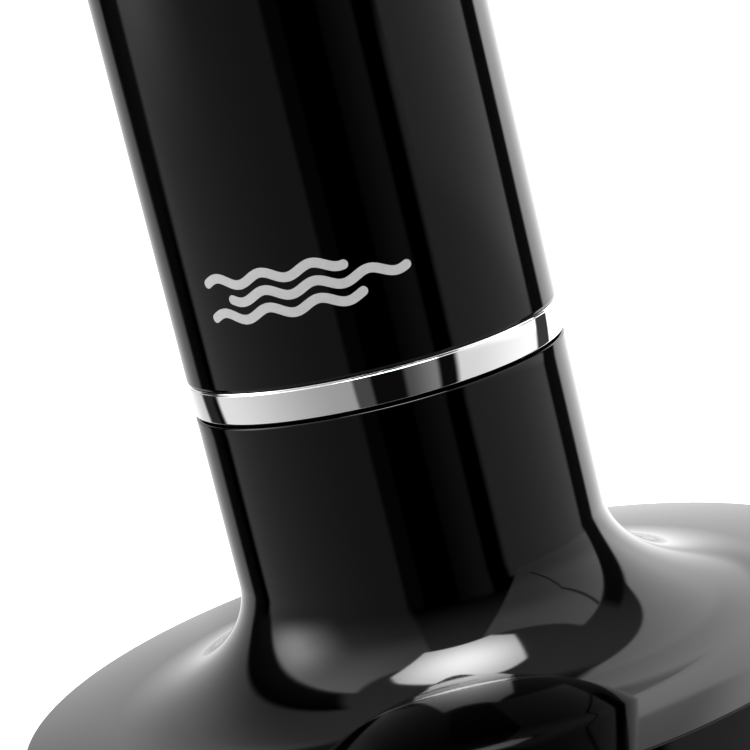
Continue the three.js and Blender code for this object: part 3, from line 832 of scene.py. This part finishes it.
def crossflow_wheel():
    """Curved blades between stacked discs."""
    z0, z1 = low("crossflow_wheel").z, high("crossflow_wheel").z
    outer = high("crossflow_wheel").y
    discs, disc_up, end_bore, disc_bore = 11, 2 * MM, 12.3 * MM, 30 * MM
    # a blade's points along its curve, half its thickness, and its inner radius and depth in mm
    blades, stops, blade_half, blade_inner, blade_deep = 30, 7, 0.45 * MM, 31, 9
    parts = []
    for i in range(discs):
        z = z0 + (z1 - z0 - disc_up) * i / (discs - 1)
        bore = end_bore if i in (0, discs - 1) else disc_bore
        outline = rounded([
            (bore, z, 0.3 * MM), (outer, z, 0.5 * MM),
            (outer, z + disc_up, 0.5 * MM), (bore, z + disc_up, 0.3 * MM),
        ], 2)
        parts.append(turned("disc", outline, MIDDLE))
    for i in range(blades):
        turn = 360 * i / blades
        points = []
        for z in (z0 + 0.2 * MM, z1 - 0.2 * MM):
            for side in (blade_half, -blade_half):
                for k in range(stops):
                    share = k / (stops - 1)
                    lean = turn + 9 * math.sin(share * math.pi / 2) - 14 * share * share
                    radius = (blade_inner + blade_deep * share) * MM
                    points.append(at(lean + math.degrees(side / outer), radius, z))
        n = 2 * stops
        loop = list(range(stops)) + list(range(n - 1, stops - 1, -1))
        faces = [(loop[k], loop[(k + 1) % n], loop[(k + 1) % n] + n, loop[k] + n) for k in range(n)]
        for k in range(stops - 1):
            for level in (0, n):
                a = level + k
                faces.append((a, a + 1, a + 1 + stops, a + stops))
        parts.append(mesh_object("blade", points, faces))
    return merged("blower_wheel", parts)


dress(crossflow_wheel(), "blower", "satin_black", "crossflow_wheel")


# ---------------------------------------------------------------- head and controls

DISPLAY_R = COLUMN_R - 0.2 * MM
DISPLAY_HALF = math.degrees(math.asin(high("display_window").x / DISPLAY_R))


def head():
    """The head's wall with the display's opening, cut for the hand grip at the back."""
    half = DISPLAY_HALF + 0.3
    window = (-half, half, low("display_window").z - GAP, high("display_window").z + GAP)
    wall = pierced_wall("head_wall", COLUMN_R, (-180, 180), (HEAD_LOW, HEAD_HIGH), window, 3 * MM)
    grip_low, grip_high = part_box("hand_grip")
    cut_deep, cut_back = 0.06, 0.07
    size = (2 * (grip_high.x + GAP), cut_deep, grip_high.z - grip_low.z + 2 * GAP)
    return carved(wall, [box_object("cutter", size, (0, cut_back, (grip_low.z + grip_high.z) / 2))])


dress(head(), "column", "gloss_black", "head_housing")
bevelled(frame["nodes"]["hand_grip"], 0.7 * MM, 3, 40)


def display_pane():
    """The smoked pane, bent to the column."""
    azimuths = (-DISPLAY_HALF, DISPLAY_HALF)
    pane_low, pane_high = low("display_window").z, high("display_window").z
    return band("display_pane", BORE_R, DISPLAY_R, azimuths, pane_low, pane_high, 0.6 * MM)


dress(display_pane(), "column", "smoked_panel", "display_window")

PANEL_TOP = high("control_panel").z
PANEL_BOTTOM = PANEL_TOP - 3.3 * MM
PANEL_R = high("control_panel").x


def top_cap():
    """The cap: a rounded shoulder and the seat that the control panel lies in."""
    skirt = HEAD_HIGH + GAP
    shoulder, recess_r, seat_r = 9 * MM, 45 * MM, 41 * MM
    outline = [(COLUMN_R, skirt)] + arc((COLUMN_R - shoulder, TOP - shoulder), shoulder, 0, 90, 24)
    outline += rounded([
        (50 * MM, TOP, 0), (recess_r, TOP, 0.6 * MM), (recess_r, PANEL_BOTTOM - GAP, 0),
        (seat_r, PANEL_BOTTOM - GAP, 0), (seat_r, PANEL_BOTTOM - 3 * MM, 0),
        (58 * MM, PANEL_BOTTOM - 3 * MM, 0), (BORE_R, PANEL_BOTTOM - 6 * MM, 0), (BORE_R, skirt, 0),
    ], 5)
    return turned("domed_cap", outline)


dress(top_cap(), "column", "gloss_black", "top_cap")

BUTTONS = ("button_power", "button_speed", "button_mode", "button_timer", "button_swing")
# the cap's height above its flange, the flange's width and thickness, and how far the stem reaches down
CAP_UP = 4.6 * MM
FLANGE = 1.4 * MM
STEM_DOWN = 4.3 * MM
# how far the dish's floor, which carries the sign, lies under the cap's rim
SIGN_DOWN = 0.33 * MM


def button_spot(node):
    """The middle of a button's top, and its cap's radius, which is its flange's less the flange's width."""
    a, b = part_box(node)
    return Vector(((a.x + b.x) / 2, (a.y + b.y) / 2, b.z)), (b.x - a.x) / 2 - FLANGE


def control_panel():
    """The round panel with a hole for each button."""
    outlines = [circle(PANEL_R, SMOOTH)]
    for node in BUTTONS:
        spot, radius = button_spot(node)
        outlines.append(circle(radius + GAP, MIDDLE, spot.x, spot.y))
    return plate("button_panel", outlines, PANEL_BOTTOM, PANEL_TOP)


dress(control_panel(), "column", "smoked_panel", "control_panel")


def push_button(node):
    """A cap with a shallow dish in its top, its flange and its stem."""
    spot, radius = button_spot(node)
    under = spot.z - CAP_UP
    stem_r = 2.5 * MM
    outline = rounded([
        (0, under - STEM_DOWN, 0), (stem_r, under - STEM_DOWN, 0.3 * MM), (stem_r, under - FLANGE, 0),
        (radius + FLANGE, under - FLANGE, 0.2 * MM), (radius + FLANGE, under, 0.2 * MM),
        (radius, under, 0), (radius, spot.z, 0.5 * MM), (radius - 1.1 * MM, spot.z, 0.4 * MM),
        (radius * 0.5, spot.z - 0.3 * MM, 1.5 * MM), (0, spot.z - 0.35 * MM, 0),
    ], 4)
    made = turned(node.replace("button_", "push_"), outline, MIDDLE)
    made.location = (spot.x, spot.y, 0)
    return dress(made, node, "satin_black", node)


def stroke_arc(radius, first, last, centre=(0.0, 0.0)):
    """An arc's points, its angles in degrees clockwise from straight up."""
    steps = max(3, int(abs(last - first) / 10))
    angles = [math.radians(first + (last - first) * i / steps) for i in range(steps + 1)]
    return [(centre[0] + radius * math.sin(a), centre[1] + radius * math.cos(a)) for a in angles]


def icon_lines(node, size):
    """Plain signs: power, blades, waves, clock, and a double-ended arrow."""
    if node == "button_power":
        return [stroke_arc(size, 35, 325), [(0, size * 0.35), (0, size * 1.15)]]
    if node == "button_speed":
        return [stroke_arc(size * 0.42, a, a + 200, at_flat(a + 100, size * 0.5)) for a in (0, 120, 240)]
    if node == "button_mode":
        rows = (-0.6, 0.0, 0.6)
        waves = [(i / 12 * 2 - 1) for i in range(13)]
        return [[(u * size, (v + 0.2 * math.sin(u * math.pi)) * size) for u in waves] for v in rows]
    if node == "button_timer":
        return [stroke_arc(size, 0, 360), [(0, size * 0.6), (0, 0), (size * 0.45, 0)]]
    head_size = size * 0.35
    arrow = stroke_arc(size * 1.3, -50, 50, (0, -size * 0.7))
    first, last = Vector(arrow[0]), Vector(arrow[-1])
    return [
        arrow,
        [first + Vector((head_size * 1.2, -0.1 * head_size)), first, first + Vector((0, head_size * 1.3))],
        [last + Vector((-head_size * 1.2, -0.1 * head_size)), last, last + Vector((0, head_size * 1.3))],
    ]


def at_flat(angle, radius):
    """The point at an angle, in degrees clockwise from straight up."""
    return (radius * math.sin(math.radians(angle)), radius * math.cos(math.radians(angle)))


def button_icon(node):
    """The sign printed in a button's dish."""
    spot, radius = button_spot(node)

    def place(u, v, h):
        return Vector((spot.x + u, spot.y + v, spot.z - SIGN_DOWN + h))

    lines = icon_lines(node, radius * 0.42)
    made = ribbon(node.replace("button_", "sign_"), lines, 0.55 * MM, place, 0.08 * MM)
    return dress(made, node, "print")


for node in BUTTONS:
    push_button(node)
    button_icon(node)


# ---------------------------------------------------------------- camera

# the azimuth is in degrees, the pitch, yaw and roll are in radians, and the lens is in millimetres
CAMERA_AZIMUTH = 15.5
CAMERA_DISTANCE = 13.126 * COLUMN_R
CAMERA_HEIGHT = RING_LOW + 2.5234 * COLUMN_R
CAMERA_PITCH = 0.193
CAMERA_YAW = -0.0022
CAMERA_ROLL = -0.241
CAMERA_LENS = 121.35


def add_camera():
    """Looks slightly down at the swing joint, and is rolled about its line of sight."""
    forward = Vector((
        math.sin(CAMERA_YAW) * math.cos(CAMERA_PITCH),
        math.cos(CAMERA_YAW) * math.cos(CAMERA_PITCH),
        -math.sin(CAMERA_PITCH),
    ))
    right = forward.cross(Vector((0, 0, 1))).normalized()
    up = right.cross(forward)
    tilted_right = math.cos(CAMERA_ROLL) * right + math.sin(CAMERA_ROLL) * up
    tilted_up = -math.sin(CAMERA_ROLL) * right + math.cos(CAMERA_ROLL) * up
    pose = Matrix((tilted_right, tilted_up, -forward)).transposed().to_4x4()
    pose.translation = Vector((0, -CAMERA_DISTANCE, CAMERA_HEIGHT))
    camera = bpy.data.objects.new("camera", bpy.data.cameras.new("camera"))
    camera.data.lens = CAMERA_LENS
    camera.data.sensor_width = 36
    camera.data.clip_start = 0.01
    camera.data.clip_end = 100
    camera.matrix_world = Matrix.Rotation(math.radians(CAMERA_AZIMUTH), 4, "Z") @ pose
    bpy.context.scene.collection.objects.link(camera)
    bpy.context.scene.camera = camera


add_camera()


# ---------------------------------------------------------------- floor, studio and key light

FLOOR_HALF = 20


def add_floor():
    """A plain pale floor that the gloss does not mirror."""
    a = FLOOR_HALF
    points = [(-a, -a, 0), (a, -a, 0), (a, a, 0), (-a, a, 0)]
    floor = mesh_object("studio_floor", points, [(0, 1, 2, 3)])
    m = Nodes("pale_floor", (0.5, 0.5, 0.5), 0.9)
    m.set("Base Color", m.mix(m.noise(3, 4), (0.49, 0.49, 0.49, 1), (0.51, 0.51, 0.51, 1)))
    m.set("Emission Color", (1, 1, 1, 1))
    m.set("Emission Strength", 0.6)
    floor.data.materials.append(m.material)
    floor.visible_glossy = False


def card(azimuth, elevation, soft, light, lean=0.0, rise=0.0):
    """A soft-edged patch of the room, as keywords for add_studio.

    azimuth and elevation are its edges, soft is how many degrees its sides, bottom and top take to fade,
    and light is its brightness at its left and right ends. Its left side leans by `lean` degrees of
    azimuth per degree upwards, and from there it rises by `rise` degrees per degree of azimuth.
    """
    return {
        "azimuth": azimuth, "elevation": elevation, "soft": soft, "light": light, "lean": lean, "rise": rise,
    }


# Later cards cover earlier ones.
CARDS = (
    # white walls behind the fan, right and left
    card((145, 183), (-90, 29), (5, 24, 3), (2.1, 1.95), rise=0.85),
    card((145, 183), (-8, 29), (5, 14, 3), (2.6, 2.2), rise=0.85),
    card((183, 200), (-90, 36), (5, 16, 8), (1.1, 0.9), rise=0.65),
    card((183, 200), (-90, 26.7), (5, 16, 1), (1.75, 1.4), rise=0.65),
    card((176, 185), (20, 50), (3, 8, 3), (2.0, 1.9)),
    card((200, 215), (-90, 42), (5, 16, 22), (1.35, 1.25)),
    card((-150, -118), (-90, 40), (8, 28, 28), (1.12, 0.72)),
    # big diffuser on the left, brighter upwards and towards its left end
    card((-100, -1), (-90, 30), (5, 20, 20), (0.88, 0.45)),
    card((-96, 1), (16, 65.5), (5, 26, 3), (1.5, 0.65), rise=0.1),
    card((-96, 1), (42, 65.5), (5, 30, 3), (2.9, 1.7), rise=0.1),
    card((-94, -60), (11, 42), (36, 28, 24), (6.6, 4.8)),
    # big diffuser on the right, brighter upwards, with a seam across it
    card((62, 129), (-90, 3), (5, 8, 6), (0.8, 1.15)),
    card((66, 129), (-4, 60), (3, 4, 2), (0.95, 1.5), lean=-0.32, rise=-0.1),
    card((66, 129), (13, 60), (3, 16, 2), (1.2, 2.1), lean=-0.32, rise=-0.1),
    card((66, 129), (42, 60), (3, 20, 2), (1.9, 2.2), lean=-0.32, rise=-0.1),
    card((75, 98), (4.8, 6.5), (1, 1, 1), (0.3, 0.4), rise=1.12),
    card((98, 129), (30.2, 31.9), (1, 1, 1), (0.4, 0.6), rise=0.36),
    # dark stands and flags
    card((-1, 9), (-90, 12), (3, 10, 10), (0.12, 0.12)),
    card((29, 50), (-90, 16), (4, 10, 10), (0.13, 0.3)),
    card((170, 213), (52, 78), (8, 4, 6), (0.22, 0.22)),
    card((189, 213), (38, 56), (3, 6, 6), (0.22, 0.22)),
    card((-118, -106), (-90, 8), (5, 12, 12), (0.05, 0.05)),
    card((-120.5, -98.5), (-4, 62), (5, 12, 4), (0.04, 0.12)),
    card((130, 143), (-90, 41), (4, 6, 6), (0.09, 0.09)),
)
# the room's brightness overhead and low down, and the elevations between which it changes
ROOM = 0.85
ROOM_FRONT = 0.012
ROOM_FADE = (6, 72)
# the light from below, and the elevations between which it ends
FLOOR_GLOW = 1.0
FLOOR_FADE = (-60, -30)
# the softbox: its azimuth, and its brightness in its middle and at its rim
KEY_AZIMUTH = 36
KEY = 21.5
KEY_RIM = 8.0
# its outline on a ceiling one unit up, each edge fading between two distances; its front edge slants
KEY_BACK = (-0.12, -0.08)
KEY_SIDES = (0.31, 0.34)
KEY_FRONT = (0.465, 0.495)
KEY_SLANT = 0.32
KEY_MIDDLE = 0.18
KEY_CORNERS = (0.45, 0.5)
KEY_REACH = 0.5


def add_studio():
    """The room around the fan as a world: its brightness depends only on the direction."""
    world = bpy.data.worlds.new("studio")
    world.use_nodes = True
    tree = world.node_tree
    nodes, links = tree.nodes, tree.links
    nodes.clear()

    def math_node(operation, *values):
        made = nodes.new("ShaderNodeMath")
        made.operation = operation
        for socket, value in zip(made.inputs, values):
            if isinstance(value, bpy.types.NodeSocket):
                links.new(value, socket)
            else:
                socket.default_value = value
        return made.outputs[0]

    def fade(value, first, last, out_first, out_last):
        made = nodes.new("ShaderNodeMapRange")
        made.interpolation_type = "SMOOTHSTEP"
        links.new(value, made.inputs["Value"])
        for name, number in zip(RANGE_SOCKETS, (first, last, out_first, out_last)):
            made.inputs[name].default_value = number
        return made.outputs["Result"]

    direction = nodes.new("ShaderNodeTexCoord").outputs["Generated"]
    parts = nodes.new("ShaderNodeSeparateXYZ")
    links.new(direction, parts.inputs[0])
    x, y, z = parts.outputs
    around = math_node("DEGREES", math_node("ARCTAN2", x, math_node("MULTIPLY", y, -1.0)))
    height = math_node("DEGREES", math_node("ARCSINE", z))
    behind = math_node("ADD", around, math_node("MULTIPLY", math_node("LESS_THAN", around, 0.0), 360.0))

    def patch(azimuth, elevation, soft, light, lean, rise):
        """A card's brightness and its mask."""
        across = behind if azimuth[1] > 180 else around
        left = math_node("SUBTRACT", across, math_node("MULTIPLY", height, lean))
        climb = math_node("MULTIPLY", math_node("SUBTRACT", across, azimuth[0]), rise)
        level = math_node("SUBTRACT", height, climb)
        sides, bottom, top = (s / 2 for s in soft)
        mask = math_node(
            "MULTIPLY",
            fade(left, azimuth[0] - sides, azimuth[0] + sides, 0, 1),
            fade(across, azimuth[1] - sides, azimuth[1] + sides, 1, 0),
        )
        mask = math_node("MULTIPLY", mask, fade(level, elevation[0] - bottom, elevation[0] + bottom, 0, 1))
        mask = math_node("MULTIPLY", mask, fade(level, elevation[1] - top, elevation[1] + top, 1, 0))
        return fade(across, *azimuth, *light), mask

    def layer(under, value, mask):
        """A brightness with another laid over it where the mask is 1."""
        left = math_node("MULTIPLY", under, math_node("SUBTRACT", 1.0, mask))
        return math_node("ADD", left, math_node("MULTIPLY", value, mask))

    def softbox():
        """A large softbox overhead: its outline on a level ceiling, and its brightness."""
        turn = math.radians(KEY_AZIMUTH)
        upwards = math_node("MAXIMUM", z, 0.05)
        ceiling_x, ceiling_y = math_node("DIVIDE", x, upwards), math_node("DIVIDE", y, upwards)

        def blend(first, second):
            return math_node(
                "ADD", math_node("MULTIPLY", ceiling_x, first), math_node("MULTIPLY", ceiling_y, second)
            )

        ahead = blend(math.sin(turn), -math.cos(turn))
        aside = blend(math.cos(turn), math.sin(turn))
        wide = math_node("ABSOLUTE", aside)
        deep = math_node("ABSOLUTE", math_node("SUBTRACT", ahead, KEY_MIDDLE))
        outline = math_node("MULTIPLY", fade(ahead, *KEY_BACK, 0, 1), fade(wide, *KEY_SIDES, 1, 0))
        front = math_node("SUBTRACT", ahead, math_node("MULTIPLY", aside, KEY_SLANT))
        outline = math_node("MULTIPLY", outline, fade(front, *KEY_FRONT, 1, 0))
        corners = math_node("ADD", math_node("MULTIPLY", wide, 0.8), deep)
        outline = math_node("MULTIPLY", outline, fade(corners, *KEY_CORNERS, 1, 0))
        squares = math_node("ADD", math_node("POWER", wide, 2.0), math_node("POWER", deep, 2.0))
        return outline, fade(math_node("SQRT", squares), 0.0, KEY_REACH, KEY, KEY_RIM)

    brightness = layer(ROOM, ROOM_FRONT, fade(height, *ROOM_FADE, 1, 0))
    for each in CARDS:
        brightness = layer(brightness, *patch(**each))
    brightness = layer(brightness, FLOOR_GLOW, fade(height, *FLOOR_FADE, 1, 0))
    outline, value = softbox()
    brightness = layer(brightness, value, outline)
    seen = nodes.new("ShaderNodeLightPath").outputs["Is Camera Ray"]
    brightness = layer(brightness, 1.0, seen)
    background = nodes.new("ShaderNodeBackground")
    background.inputs["Color"].default_value = (1, 1, 1, 1)
    links.new(brightness, background.inputs["Strength"])
    output = nodes.new("ShaderNodeOutputWorld")
    links.new(background.outputs[0], output.inputs["Surface"])
    bpy.context.scene.world = world


add_floor()
add_studio()

settings = bpy.context.scene.view_settings
settings.view_transform = "Standard"
settings.gamma = 0.78
settings.use_curve_mapping = True
settings.curve_mapping.black_level = (0.003, 0.003, 0.003)
